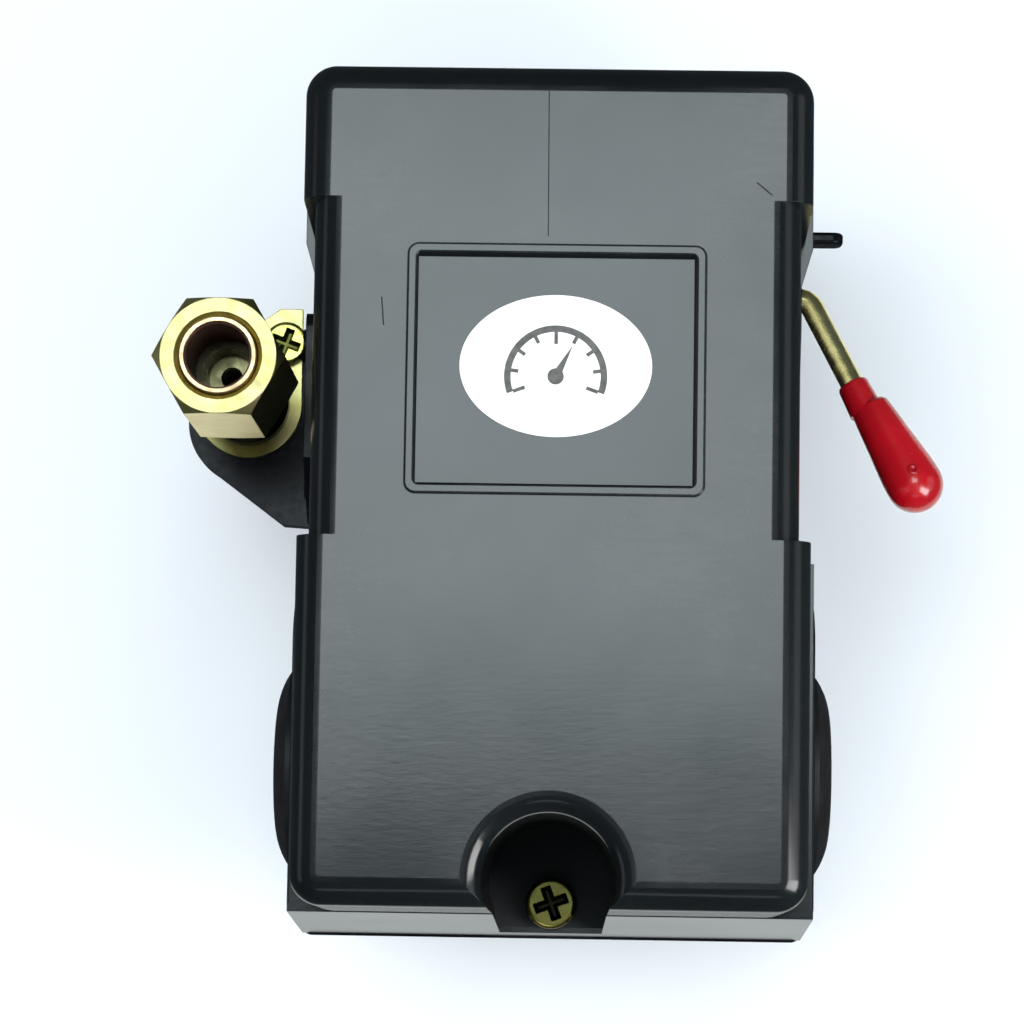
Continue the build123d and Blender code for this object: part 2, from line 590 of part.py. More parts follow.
bridge_z = strip_z + 1.6 + clear
with BuildPart() as bridge_contacts:
    for x0, x1 in ((-19.4, -2.7), (2.7, 19.4)):
        box(x0, x1, contact_y - 2.3, contact_y + 2.3, bridge_z + 0.7, bridge_z + 1.5)
    for x in pole_x:
        rod(x, contact_y, bridge_z, bridge_z + 0.7, 2.0)
save(bridge_contacts, "bridge_contacts")

with BuildPart() as contact_carrier:
    box(-2.6, 2.6, contact_y - 2.5, contact_y + 2.5, rocker_z + rocker_t + 0.3, 62.0)
    box(-20.5, 20.5, contact_y - 2.5, contact_y + 2.5, bridge_z + 1.55, bridge_z + 5.5)
    fillet(edges().filter_by(Axis.Y).group_by(Axis.Z)[-1], 1.0)
save(contact_carrier, "contact_carrier")

# ---- hand lever ---------------------------------------------------------------------------
bend = Vector(lever_bend_x, lever_y, lever_z)
along_rod = Vector(*handle_run).normalized()
along_grip = (Vector(*lever_tip) - Vector(*grip_back)).normalized()
rod_start = Vector(-ear_x + 0.1, lever_y, lever_z)
rod_path = FilletPolyline(rod_start, bend, bend + along_rod * handle_length, radius=lever_bend_r)
with BuildPart() as lever_rod:
    with BuildSketch(Plane(origin=rod_start, z_dir=(1, 0, 0))):
        Circle(rod_r)
    sweep(path=rod_path)
save(lever_rod, "lever_rod")


def along_plane(origin, direction):
    """A plane whose X is a radius and whose Y runs along a direction."""
    across = direction.cross(Vector(0, 0, 1)).normalized()
    return Plane(origin=origin, x_dir=across, z_dir=across.cross(direction))


with BuildPart() as lever_cap:
    with BuildSketch(along_plane(Vector(*grip_back), along_grip)):
        with BuildLine():
            tip_y, round_y = grip_length + cap_r, grip_length
            Polyline((0, tip_y), (0, grip_start), (2.35, grip_start), (2.6, grip_start + 0.35))
            Spline((2.6, grip_start + 0.35), (3.25, grip_start + 6.4), (cap_r, round_y),
                   tangents=((0.14, 1), (0, 1)))
            RadiusArc((cap_r, round_y), (0, tip_y), -cap_r)
        make_face()
    revolve(axis=Axis(Vector(*grip_back), along_grip))
    with BuildSketch(along_plane(bend, along_rod)):
        with BuildLine():
            Polyline((0, collar_start), (1.95, collar_start), (2.08, collar_start + 0.3), (2.28, collar_end),
                     (0, collar_end), close=True)
        make_face()
    revolve(axis=Axis(bend, along_rod))
    with BuildSketch(Plane(origin=bend, z_dir=along_rod)) as bore:
        Circle(rod_r + 0.03)
    extrude(bore.sketch, amount=handle_length + 0.1, mode=Mode.SUBTRACT)
save(lever_cap, "lever_cap")

save(ring_clips((-29.85, 29.85), lever_y, lever_z, rod_r + 0.01, 3.2, 0.7), "lever_clips")

with BuildPart() as lever_cam:
    with BuildSketch(Plane.YZ.offset(9.9)):
        with Locations((lever_y, lever_z)):
            Circle(3.0)
        with BuildLine():
            tip = (lever_y - 5.2 * math.cos(math.radians(40)), lever_z + 5.2 * math.sin(math.radians(40)))
            Polyline((lever_y - 2.2, lever_z - 1.2), (tip[0] - 0.4, tip[1] - 1.0), tip,
                     (lever_y + 0.6, lever_z + 2.6), close=True)
        make_face()
        with Locations((lever_y, lever_z)):
            Circle(rod_r + 0.01, mode=Mode.SUBTRACT)
    extrude(amount=4.1)
save(lever_cam, "lever_cam")

# ---- unloader valve and its bracket -------------------------------------------------------
rivets = ((1.0, 49.5), (18.5, 56.0))
with BuildPart() as bracket:
    with BuildSketch(Plane.XY.offset(shelf_z)):
        with BuildLine():
            Polyline((-ear_x, -4.7), (-36.9, -4.4), (-45.9, 2.3))
            ThreePointArc((-45.9, 2.3), (-49.1, 5.6), (-50.1, 9.6))
            Polyline((-50.1, 9.6), (-50.1, 17.5), (-43.0, 22.4), (-ear_x, 22.4), (-ear_x, -4.7))
        make_face()
    extrude(amount=shelf_t)
    with BuildSketch(Plane.YZ.offset(bracket_x)):
        with BuildLine():
            Polyline((-4.7, plate_z + plate_t), (-4.7, 50), (3.0, 60.6), (22.4, 60.6),
                     (22.4, plate_z + plate_t), close=True)
        make_face()
        fillet(vertices().group_by(Axis.Y)[-1].sort_by(Axis.Z)[-1], 2)
    extrude(amount=-bracket_x - ear_x)
    box(bracket_x - 1, -ear_x + 1, *window, Mode.SUBTRACT)
    rod(valve_x, valve_y, shelf_z, shelf_z + shelf_t, 3.5, Mode.SUBTRACT)
    rod(valve_screw_x, valve_screw_y, shelf_z, shelf_z + shelf_t, 1.5, Mode.SUBTRACT)
    for y, z in rivets:
        cross_rod(bracket_x, -ear_x, y, z, 1.5, Mode.SUBTRACT)
save(bracket, "unloader_bracket")

with BuildPart() as bracket_rivets:
    for y, z in rivets:
        cross_rod(bracket_x - rivet_head, bracket_x, y, z, 2.2)
        cross_rod(bracket_x, -ear_x, y, z, 1.49)
save(bracket_rivets, "bracket_rivets")

flange_bottom = shelf_z + shelf_t
body_bottom = flange_bottom + valve_flange_t
with BuildPart() as valve_flange:
    with BuildSketch(Plane.XY.offset(flange_bottom)):
        with BuildLine():
            CenterArc((valve_x, valve_y), 7.2, 0, 360)
            Polyline((-34.8, 14.0), (-34.8, 25.0), (-37.8, 25.0), (-40.0, 23.4), (-34.8, 14.0))
        make_hull()
    extrude(amount=valve_flange_t)
    rod(valve_x, valve_y, flange_bottom, body_bottom, 3.5, Mode.SUBTRACT)
    rod(valve_screw_x, valve_screw_y, flange_bottom, body_bottom, 1.6, Mode.SUBTRACT)
save(valve_flange, "valve_flange")

with BuildPart() as valve_screw:
    pan_screw(valve_screw_x, valve_screw_y, body_bottom, 2.9, 2.0, 1.48, shelf_z, turn=-20)
save(valve_screw, "valve_screw")

with BuildPart() as valve_body:
    with BuildSketch(Plane.XZ.offset(-valve_y)):
        with BuildLine():
            steps = ((1.35, shelf_z), (3.45, shelf_z), (3.45, body_bottom), (5.6, body_bottom),
                     (5.6, body_bottom + 2.4), (4.8, body_bottom + 3.0), (4.8, 65.0), (5.3, 65.6),
                     (5.3, seat_top_z - 0.2), (3.0, seat_top_z - 0.2), (3.0, 56.0), (1.35, 56.0))
            Polyline(*[(valve_x + r, z) for r, z in steps], close=True)
        make_face()
    revolve(axis=Axis((valve_x, valve_y, 0), (0, 0, 1)))
save(valve_body, "valve_body")

with BuildPart() as valve_nut:
    with BuildSketch(Plane.XY.offset(nut_z0)):
        with Locations((valve_x, valve_y)):
            RegularPolygon(nut_af / 2, 6, major_radius=False, rotation=0)
    extrude(amount=nut_z1 - nut_z0)
    nut_corner = nut_af / math.sqrt(3)
    with BuildSketch(Plane.XZ.offset(-valve_y)):
        with BuildLine():
            Polyline((valve_x, nut_z0), (valve_x + nut_af / 2, nut_z0), (valve_x + nut_corner, nut_z0 + 0.8),
                     (valve_x + nut_corner, nut_z1 - 1.0), (valve_x + nut_af / 2, nut_z1),
                     (valve_x, nut_z1), close=True)
        make_face()
    revolve(axis=Axis((valve_x, valve_y, 0), (0, 0, 1)), mode=Mode.INTERSECT)
    rod(valve_x, valve_y, nut_z0, seat_top_z, 5.35, Mode.SUBTRACT)
    rod(valve_x, valve_y, seat_top_z, nut_z1, ferrule_r + 0.02, Mode.SUBTRACT)
    with Locations((valve_x, valve_y, nut_z1 - 0.25)):
        Cone(ferrule_r, ferrule_r + 0.5, 0.5, mode=Mode.SUBTRACT)
save(valve_nut, "valve_nut")

with BuildPart() as ferrule:
    rod(valve_x, valve_y, seat_top_z, nut_z1 + 0.5, ferrule_r)
    rod(valve_x, valve_y, seat_top_z, nut_z1 + 0.5, tube_r, Mode.SUBTRACT)
    chamfer(edges().filter_by(GeomType.CIRCLE).group_by(Axis.Z)[-1].sort_by(SortBy.RADIUS)[0], 0.3)
save(ferrule, "ferrule")

with BuildPart() as valve_stem:
    stem_tip = rocker_z - arm_drop + rocker_t + 0.3
    rod(valve_x, valve_y, stem_tip, 56.1, 1.28)
    rod(valve_x, valve_y, 56.1, 58.0, 2.6)
    rod(valve_x, valve_y, 58.0, 60.5, 1.1)
save(valve_stem, "valve_stem")

with BuildPart() as spring_plug:
    rod(valve_x, valve_y, 69.0, 70.6, 2.98)
    rod(valve_x, valve_y, 68.0, 72.0, 1.4, Mode.SUBTRACT)
save(spring_plug, "valve_spring_plug")
save(coil_spring(valve_x, valve_y, 58.0, 69.0, 2.2, 0.3, 7), "valve_spring")
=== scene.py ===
import json
import math

import bmesh
import bpy
from mathutils import Euler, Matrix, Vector


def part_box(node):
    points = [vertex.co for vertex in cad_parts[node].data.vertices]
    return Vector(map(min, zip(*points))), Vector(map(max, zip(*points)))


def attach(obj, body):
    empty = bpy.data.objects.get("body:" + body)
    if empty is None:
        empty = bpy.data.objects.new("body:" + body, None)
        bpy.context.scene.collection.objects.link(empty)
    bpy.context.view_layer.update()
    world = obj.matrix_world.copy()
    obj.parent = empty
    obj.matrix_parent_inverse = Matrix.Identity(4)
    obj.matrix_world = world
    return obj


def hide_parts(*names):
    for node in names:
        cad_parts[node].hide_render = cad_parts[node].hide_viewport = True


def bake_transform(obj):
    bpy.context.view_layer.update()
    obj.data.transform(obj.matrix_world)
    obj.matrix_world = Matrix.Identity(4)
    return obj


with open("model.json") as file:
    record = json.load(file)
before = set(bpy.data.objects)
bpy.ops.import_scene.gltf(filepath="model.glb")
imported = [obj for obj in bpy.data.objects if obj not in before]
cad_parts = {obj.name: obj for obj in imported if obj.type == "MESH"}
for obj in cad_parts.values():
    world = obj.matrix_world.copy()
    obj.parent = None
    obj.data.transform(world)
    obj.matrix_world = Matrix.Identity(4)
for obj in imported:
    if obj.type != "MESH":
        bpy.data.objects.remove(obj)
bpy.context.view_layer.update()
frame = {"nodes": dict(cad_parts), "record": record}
nodes = frame["nodes"]
MM = 0.001


# ---- small helpers for materials -------------------------------------------------------------
class Shader:
    """A material with its node tree and the Principled shader, and short ways to add nodes."""

    def __init__(self, name, color, metallic=0.0, roughness=0.4, **sockets):
        self.material = bpy.data.materials.new(name)
        self.material.use_nodes = True
        self.tree = self.material.node_tree
        self.bsdf = self.tree.nodes["Principled BSDF"]
        self.bsdf.inputs["Base Color"].default_value = (*color, 1)
        self.bsdf.inputs["Metallic"].default_value = metallic
        self.bsdf.inputs["Roughness"].default_value = roughness
        for socket, value in sockets.items():
            self.bsdf.inputs[socket.replace("_", " ")].default_value = value

    def node(self, kind, inputs=None, **settings):
        made = self.tree.nodes.new(kind)
        for key, value in settings.items():
            setattr(made, key, value)
        for key, value in (inputs or {}).items():
            if isinstance(value, bpy.types.NodeSocket):
                self.tree.links.new(value, made.inputs[key])
            else:
                made.inputs[key].default_value = value
        return made

    def link(self, socket, to):
        self.tree.links.new(socket, self.bsdf.inputs[to])

    def place(self, scale=(1, 1, 1)):
        """Object coordinates, stretched, in metres."""
        spot = self.node("ShaderNodeTexCoord").outputs["Object"]
        return self.node("ShaderNodeMapping", {"Vector": spot, "Scale": scale}).outputs["Vector"]

    def noise(self, per_mm, detail=4.0, rough=0.55, stretch=(1, 1, 1)):
        """Fractal noise with about per_mm features to the millimetre."""
        return self.node("ShaderNodeTexNoise", {
            "Vector": self.place(stretch), "Scale": per_mm / MM, "Detail": detail, "Roughness": rough,
        }).outputs["Fac"]

    def remap(self, value, low, high, to_low, to_high):
        return self.node("ShaderNodeMapRange", {
            "Value": value, "From Min": low, "From Max": high, "To Min": to_low, "To Max": to_high,
        }).outputs["Result"]

    def math(self, operation, a, b=0.0):
        made = self.node("ShaderNodeMath", operation=operation)
        for socket, value in zip(made.inputs, (a, b)):
            if isinstance(value, bpy.types.NodeSocket):
                self.tree.links.new(value, socket)
            else:
                socket.default_value = value
        return made.outputs["Value"]

    def ramp(self, value, stops):
        """Colour ramp: stops are (position, (r, g, b))."""
        made = self.node("ShaderNodeValToRGB", {"Fac": value})
        band = made.color_ramp
        while len(band.elements) < len(stops):
            band.elements.new(0.5)
        for element, (position, color) in zip(band.elements, stops):
            element.position = position
            element.color = (*color, 1)
        return made.outputs["Color"]

    def mix(self, factor, a, b):
        made = self.node("ShaderNodeMix", data_type="RGBA")
        for socket, value in ((made.inputs["Factor"], factor), (made.inputs[6], a), (made.inputs[7], b)):
            if isinstance(value, bpy.types.NodeSocket):
                self.tree.links.new(value, socket)
            else:
                socket.default_value = value if not isinstance(value, tuple) else (*value, 1)
        return made.outputs[2]

    def specks(self, per_mm, size):
        """1 inside small scattered dots, 0 elsewhere."""
        cell = self.node("ShaderNodeTexVoronoi", {"Vector": self.place(), "Scale": per_mm / MM})
        return self.math("LESS_THAN", cell.outputs["Distance"], size)

    def within(self, low, high):
        """1 between two corners in metres, 0 elsewhere."""
        spot = self.node("ShaderNodeSeparateXYZ", {"Vector": self.place()}).outputs
        inside = 1.0
        for axis, least, most in zip("XYZ", low, high):
            inside = self.math("MULTIPLY", inside, self.math("GREATER_THAN", spot[axis], least))
            inside = self.math("MULTIPLY", inside, self.math("LESS_THAN", spot[axis], most))
        return inside

    def stroke(self, start, end, half):
        """1 on a straight hairline between two points of the XY plane, in mm, 0 elsewhere."""
        run = Vector(end) - Vector(start)
        turn = math.atan2(run.y, run.x)
        spot = self.node("ShaderNodeTexCoord").outputs["Object"]
        moved = self.node("ShaderNodeMapping", {
            "Vector": spot, "Location": (start[0] * MM, start[1] * MM, 0), "Rotation": (0, 0, turn),
        }, vector_type="TEXTURE").outputs["Vector"]
        parts = self.node("ShaderNodeSeparateXYZ", {"Vector": moved}).outputs
        beside = self.math("LESS_THAN", self.math("ABSOLUTE", parts["Y"]), half * MM)
        middle = self.math("ABSOLUTE", self.math("SUBTRACT", parts["X"], run.length / 2 * MM))
        return self.math("MULTIPLY", beside, self.math("LESS_THAN", middle, run.length / 2 * MM))

    def bump(self, *layers, edge=0.0):
        """Stacked bump layers: (height socket, depth in mm), over edges softened by some mm."""
        normal = self.node("ShaderNodeBevel", {"Radius": edge * MM}, samples=6).outputs[0] if edge else None
        for height, depth in layers:
            inputs = {"Height": height, "Strength": 1.0, "Distance": depth * MM}
            if normal is not None:
                inputs["Normal"] = normal
            normal = self.node("ShaderNodeBump", inputs).outputs["Normal"]
        self.link(normal, "Normal")


def black_plastic():
    """Glossy moulded plastic: a mould line and scratches, dust on its top, a dull screw recess."""
    s = Shader("black_plastic", (0.004, 0.005, 0.006), roughness=0.2, IOR=1.5)
    mould_line = ((-1.3, 44.6), (-1.15, 26.2), 0.06)
    scratches = (((24.3, 33.2), (26.2, 31.6), 0.09), ((-21.4, 18.4), (-21.1, 14.9), 0.08))
    marks = s.stroke(*mould_line)
    for scratch in scratches:
        marks = s.math("MAXIMUM", marks, s.stroke(*scratch))
    screw_low, screw_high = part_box("cover_screw")
    screw_y = (screw_low.y + screw_high.y) / 2
    recess_half, recess_front, recess_rear, above_screw = 8.2 * MM, 3.2 * MM, 12.6 * MM, 4 * MM
    recess = s.within((-recess_half, screw_y - recess_front, 0),
                      (recess_half, screw_y + recess_rear, screw_high.z + above_screw))
    dull = s.math("MAXIMUM", s.math("MULTIPLY", marks, 0.55), s.math("MULTIPLY", recess, 0.8))
    haze = s.remap(s.noise(0.03, 5), 0.3, 0.7, 0.155, 0.20)
    s.link(s.math("MAXIMUM", haze, dull), "Roughness")

    base = s.ramp(s.noise(0.05, 6), [(0.3, (0.003, 0.0042, 0.005)), (0.75, (0.0052, 0.007, 0.008))])
    below_label_rim = 0.53 * MM
    top = s.within((-1, -1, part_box("cover")[1].z - below_label_rim), (1, 1, 1))
    cloud = s.remap(s.noise(0.03, 6, 0.6, stretch=(1, 0.7, 1)), 0.42, 0.68, 0, 1)
    grain = s.remap(s.noise(1.1, 3, stretch=(0.25, 1, 1)), 0.35, 0.65, 0.7, 1)
    film = s.math("MULTIPLY", top, s.math("MULTIPLY", cloud, grain))
    filmed = s.mix(film, base, (0.024, 0.025, 0.026))
    dust = s.specks(0.075, 0.02)
    s.link(s.mix(dust, filmed, (0.45, 0.47, 0.48)), "Base Color")
    s.bump((s.noise(1.6, 3, stretch=(0.35, 1, 1)), 0.005), (s.noise(0.02, 2), 0.1),
           (s.math("SUBTRACT", 1.0, marks), 0.03), edge=0.12)
    return s.material


def black_enamel():
    s = Shader("black_enamel", (0.004, 0.0045, 0.006), roughness=0.24, Specular_IOR_Level=0.14)
    s.link(s.remap(s.noise(0.8), 0.35, 0.7, 0.2, 0.3), "Roughness")
    paint = [(0.35, (0.003, 0.0035, 0.005)), (0.7, (0.006, 0.0065, 0.009))]
    s.link(s.ramp(s.noise(0.1, 6), paint), "Base Color")
    s.bump((s.noise(1.4, 4), 0.004), edge=0.2)
    return s.material


def yellow_zinc(name="yellow_zinc", rough=0.34, straw=(0.63, 0.57, 0.22), pale=(0.69, 0.63, 0.28)):
    """Passivated zinc plate: straw yellow with pale, pinkish and greenish clouds."""
    s = Shader(name, straw, metallic=1.0, roughness=rough)
    blush, leaf = (0.66, 0.50, 0.34), (0.52, 0.56, 0.27)
    clouds = [(0.28, blush), (0.40, straw), (0.52, pale), (0.62, straw), (0.74, leaf)]
    s.link(s.ramp(s.noise(0.06, 4, 0.55), clouds), "Base Color")
    s.link(s.remap(s.noise(0.5, 4), 0.3, 0.7, rough - 0.05, rough + 0.06), "Roughness")
    s.bump((s.noise(1.4, 4, stretch=(1, 1, 0.2)), 0.003), edge=0.18)
    return s.material


def screw_zinc(node, painted_shade_tone, painted_recess_shade):
    """Yellow zinc, its brightness scaled down as painted shade by a factor, with painted shade in the
    recess of the screw's head.
    """
    low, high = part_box(node)
    cx, cy = (low.x + high.x) / 2, (low.y + high.y) / 2
    reach = 0.72 * (high.x - low.x) / 2
    s = Shader(node + "_zinc", (0.6 * painted_shade_tone, 0.55 * painted_shade_tone, 0.16 * painted_shade_tone), metallic=1.0, roughness=0.3)
    stops = [(0.3, (0.56, 0.48, 0.12)), (0.5, (0.64, 0.58, 0.17)), (0.7, (0.50, 0.52, 0.15))]
    plating = s.ramp(s.noise(0.3, 4), [(at, tuple(c * painted_shade_tone for c in color)) for at, color in stops])
    # painted shade: the recess of the head takes a darker colour than the plating
    painted_recess_mask = s.within((cx - reach, cy - reach, 0), (cx + reach, cy + reach, high.z - 0.12 * MM))
    s.link(s.mix(painted_recess_mask, plating, painted_recess_shade), "Base Color")
    s.link(s.remap(s.noise(0.9, 4), 0.3, 0.7, 0.24, 0.36), "Roughness")
    s.bump((s.noise(1.4, 4), 0.003), edge=0.15)
    return s.material


def bright_steel(name="bright_steel", color=(0.60, 0.61, 0.62), rough=0.28):
    s = Shader(name, color, metallic=1.0, roughness=rough)
    dark = tuple(c * 0.78 for c in color)
    s.link(s.mix(s.remap(s.noise(0.35), 0.4, 0.7, 0, 1), color, dark), "Base Color")
    s.link(s.remap(s.noise(1.8, 4), 0.3, 0.7, rough - 0.07, rough + 0.12), "Roughness")
    s.bump((s.noise(3.0, 3, stretch=(1, 1, 0.2)), 0.004), edge=0.1)
    return s.material


def brass(name="brass", light=(0.42, 0.38, 0.20), dark=(0.16, 0.14, 0.07)):
    s = Shader(name, light, metallic=1.0, roughness=0.3)
    s.link(s.mix(s.remap(s.noise(0.2, 5), 0.4, 0.68, 0, 1), light, dark), "Base Color")
    s.link(s.remap(s.noise(0.8, 4), 0.3, 0.7, 0.24, 0.4), "Roughness")
    s.bump((s.noise(1.2, 3, stretch=(0.3, 0.3, 2.5)), 0.005), edge=0.1)
    return s.material


def cast_alloy():
    s = Shader("cast_alloy", (0.55, 0.56, 0.57), metallic=1.0, roughness=0.5)
    stain = s.remap(s.noise(0.12, 6), 0.4, 0.7, 0, 1)
    s.link(s.mix(stain, (0.56, 0.57, 0.58), (0.38, 0.39, 0.41)), "Base Color")
    s.link(s.remap(s.noise(0.8, 4), 0.3, 0.7, 0.42, 0.62), "Roughness")
    s.bump((s.noise(1.6, 4), 0.03), (s.noise(0.25, 3), 0.05), edge=0.35)
    return s.material


def black_rubber():
    s = Shader("black_rubber", (0.006, 0.006, 0.007), roughness=0.5)
    s.link(s.remap(s.noise(0.3, 4), 0.3, 0.7, 0.42, 0.6), "Roughness")
    bloom = [(0.35, (0.005, 0.005, 0.006)), (0.75, (0.011, 0.011, 0.013))]
    s.link(s.ramp(s.noise(0.2, 5), bloom), "Base Color")
    s.bump((s.noise(2.6, 3), 0.008))
    return s.material


def red_vinyl():
    s = Shader("red_vinyl", (0.34, 0.0025, 0.007), roughness=0.22, Coat_Weight=0.6, Coat_Roughness=0.06)
    dye = [(0.35, (0.29, 0.002, 0.006)), (0.7, (0.39, 0.003, 0.009))]
    s.link(s.ramp(s.noise(0.12, 4), dye), "Base Color")
    s.link(s.remap(s.noise(0.5, 3), 0.3, 0.7, 0.2, 0.28), "Roughness")
    s.bump((s.noise(0.35, 3), 0.02), (s.noise(2.2, 2), 0.003))
    return s.material


def bakelite():
    s = Shader("bakelite", (0.035, 0.024, 0.018), roughness=0.38)
    s.link(s.ramp(s.noise(1.4, 6), [(0.35, (0.028, 0.019, 0.014)), (0.6, (0.04, 0.028, 0.02)),
                                    (0.8, (0.07, 0.05, 0.036))]), "Base Color")
    s.link(s.remap(s.noise(0.6, 4), 0.3, 0.7, 0.32, 0.5), "Roughness")
    s.bump((s.noise(2.0, 3), 0.012), edge=0.15)
    return s.material


def label_white():
    s = Shader("label_white", (0.84, 0.85, 0.85), roughness=0.45)
    s.link(s.ramp(s.noise(0.4, 5), [(0.3, (0.81, 0.82, 0.82)), (0.7, (0.88, 0.89, 0.89))]), "Base Color")
    s.bump((s.noise(1.4, 4), 0.004))
    return s.material


def print_grey():
    s = Shader("print_grey", (0.09, 0.09, 0.09), roughness=0.5)
    s.link(s.ramp(s.noise(1.2, 5), [(0.35, (0.07, 0.07, 0.07)), (0.7, (0.13, 0.13, 0.125))]), "Base Color")
    return s.material


def dark_bore():
    """The inside of the tube joint: tarnished copper, brown in the shade."""
    s = Shader("dark_bore", (0.10, 0.035, 0.028), metallic=0.6, roughness=0.42)
    tarnish = [(0.35, (0.065, 0.022, 0.018)), (0.7, (0.13, 0.05, 0.04))]
    s.link(s.ramp(s.noise(0.3, 5), tarnish), "Base Color")
    s.bump((s.noise(1.0, 4, stretch=(0.3, 0.3, 2)), 0.01))
    return s.material


looks = {
    "black_plastic": black_plastic(), "black_steel": black_enamel(), "zinc_steel": yellow_zinc(),
    "bright_steel": bright_steel(), "spring_steel": bright_steel("spring_steel", (0.30, 0.31, 0.33), 0.34),
    "brass": brass(), "copper": brass("copper", (0.66, 0.50, 0.30), (0.58, 0.41, 0.22)),
    "cast_alloy": cast_alloy(), "rubber": black_rubber(), "red_vinyl": red_vinyl(), "bakelite": bakelite(),
    "label_white": label_white(),
}
looks_of_node = {
    "valve_body": brass("tarnished_brass", (0.055, 0.048, 0.028), (0.022, 0.019, 0.011)),
    # the rod's zinc is a lighter copy of the yellow zinc: painted light
    "lever_rod": yellow_zinc("rod_zinc_painted_light", 0.26, (0.86, 0.78, 0.34), (0.92, 0.86, 0.46)),
    # both screws get painted shade in their head's recess; the cover screw is also darkened to a fifth all
    # over as painted shade
    "valve_screw": screw_zinc("valve_screw", 1.0, (0.075, 0.08, 0.02)),
    "cover_screw": screw_zinc("cover_screw", 0.2, (0.01, 0.01, 0.006)),
}
slot_of = {part["node"]: part["material_slot"] for part in frame["record"]["subparts"]}
for name, slot in slot_of.items():
    mesh = nodes[name].data
    mesh.materials.clear()
    mesh.materials.append(looks_of_node.get(name, looks[slot]))


# ---- small helpers for meshes ----------------------------------------------------------------
def finish_piece(name, built, material, body, smooth_angle=35):
    """Turns a bmesh into a piece that rides on a body, or on none yet where body is None."""
    bmesh.ops.recalc_face_normals(built, faces=built.faces)
    mesh = bpy.data.meshes.new(name)
    built.to_mesh(mesh)
    built.free()
    mesh.materials.append(material)
    mesh.shade_smooth()
    piece = bpy.data.objects.new(name, mesh)
    bpy.context.scene.collection.objects.link(piece)
    with bpy.context.temp_override(object=piece, selected_editable_objects=[piece]):
        mesh.set_sharp_from_angle(angle=math.radians(smooth_angle))
    if body:
        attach(piece, body)
    return piece


def skin(built, rings, loop=False):
    """Faces along a row of rings of points: the row ends in two caps, or a loop joins its ends."""
    following = rings[1:] + rings[:1] if loop else rings[1:]
    for low, high in zip(rings, following):
        for i in range(len(low)):
            j = (i + 1) % len(low)
            built.faces.new((low[i], low[j], high[j], high[i]))
    if not loop:
        built.faces.new(rings[0])
        built.faces.new(rings[-1][::-1])


def lathe(built, profile, place, axis=(0, 0, 1), steps=96):
    """Revolves a closed profile of (radius, height) in mm about an axis through place, in metres."""
    turn = Vector((0, 0, 1)).rotation_difference(Vector(axis)).to_matrix()
    rings = []
    for radius, height in profile:
        ring = []
        for i in range(steps):
            angle = math.tau * i / steps
            spot = Vector((radius * math.cos(angle), radius * math.sin(angle), height)) * MM
            ring.append(built.verts.new(Vector(place) + turn @ spot))
        rings.append(ring)
    skin(built, rings, loop=True)


def slab(built, outline, z0, z1):
    """A thin upright prism on an outline of (x, y) points in metres."""
    skin(built, [[built.verts.new((x, y, z)) for x, y in outline] for z in (z0, z1)])


# ---- label: a plain gauge sign printed on the white oval -----------------------------------------
def gauge_sign():
    low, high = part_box("label")
    centre = Vector(((low.x + high.x) / 2, (low.y + high.y) / 2 - 1.3 * MM))
    ink_z, hub_z = high.z + 0.03 * MM, high.z + 0.04 * MM
    band_in, band_out = 5.5, 6.3
    first, sweep = -20, 220
    built = bmesh.new()

    def spot(degrees, reach, aside=0.0):
        """A point by its direction and its distance from the centre, moved aside, all in mm."""
        angle = math.radians(degrees)
        ahead = Vector((math.cos(angle), math.sin(angle)))
        return centre + (ahead * reach + Vector((-ahead.y, ahead.x)) * aside) * MM

    band_steps = 48
    turns = [first + sweep * i / band_steps for i in range(band_steps + 1)]
    for a, b in zip(turns, turns[1:]):
        quad = [spot(a, band_out), spot(b, band_out), spot(b, band_in), spot(a, band_in)]
        slab(built, quad, high.z, ink_z)
    ticks, half = 9, 0.22
    for i in range(ticks):
        turn = first + sweep * i / (ticks - 1)
        foot = 4.0 if i % 4 == 0 else 4.6
        corners = ((foot, -half), (band_in, -half), (band_in, half), (foot, half))
        slab(built, [spot(turn, reach, aside) for reach, aside in corners], high.z, ink_z)
    needle, needle_length, needle_half = 62, 4.4, 0.55
    points = ((0, -needle_half), (needle_length, 0), (0, needle_half))
    slab(built, [spot(needle, reach, aside) for reach, aside in points], high.z, ink_z)
    hub_r, hub_steps = 1.0, 32
    slab(built, [spot(360 * i / hub_steps, hub_r) for i in range(hub_steps)], high.z, hub_z)
    finish_piece("label_gauge_sign", built, print_grey(), "housing", 20)


gauge_sign()


# ---- label panel: the fillet at the foot of its raised border -------------------------------------
def panel_fillet():
    """A sloping strip round the panel's floor, widest at the lever end."""
    low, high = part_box("label")
    cx, cy = (low.x + high.x) / 2, (low.y + high.y) / 2
    x0, x1 = cx - 17.1 * MM, cx + 17.1 * MM
    y0, y1 = cy - 14.7 * MM, cy + 13.8 * MM
    left, right, front, rear = 0.15 * MM, 0.3 * MM, 0.2 * MM, 0.42 * MM
    crest_z = low.z + 0.4 * MM
    outer = ((x0, y0), (x1, y0), (x1, y1), (x0, y1))
    inner = ((x0 + left, y0 + front), (x1 - right, y0 + front),
             (x1 - right, y1 - rear), (x0 + left, y1 - rear))
    built = bmesh.new()
    rings = []
    for (ox, oy), (ix, iy) in zip(outer, inner):
        corner = ((ox, oy, low.z), (ox, oy, crest_z), (ix, iy, low.z))
        rings.append([built.verts.new(point) for point in corner])
    skin(built, rings, loop=True)
    finish_piece("label_panel_fillet", built, looks["black_plastic"], "housing", 20)


panel_fillet()


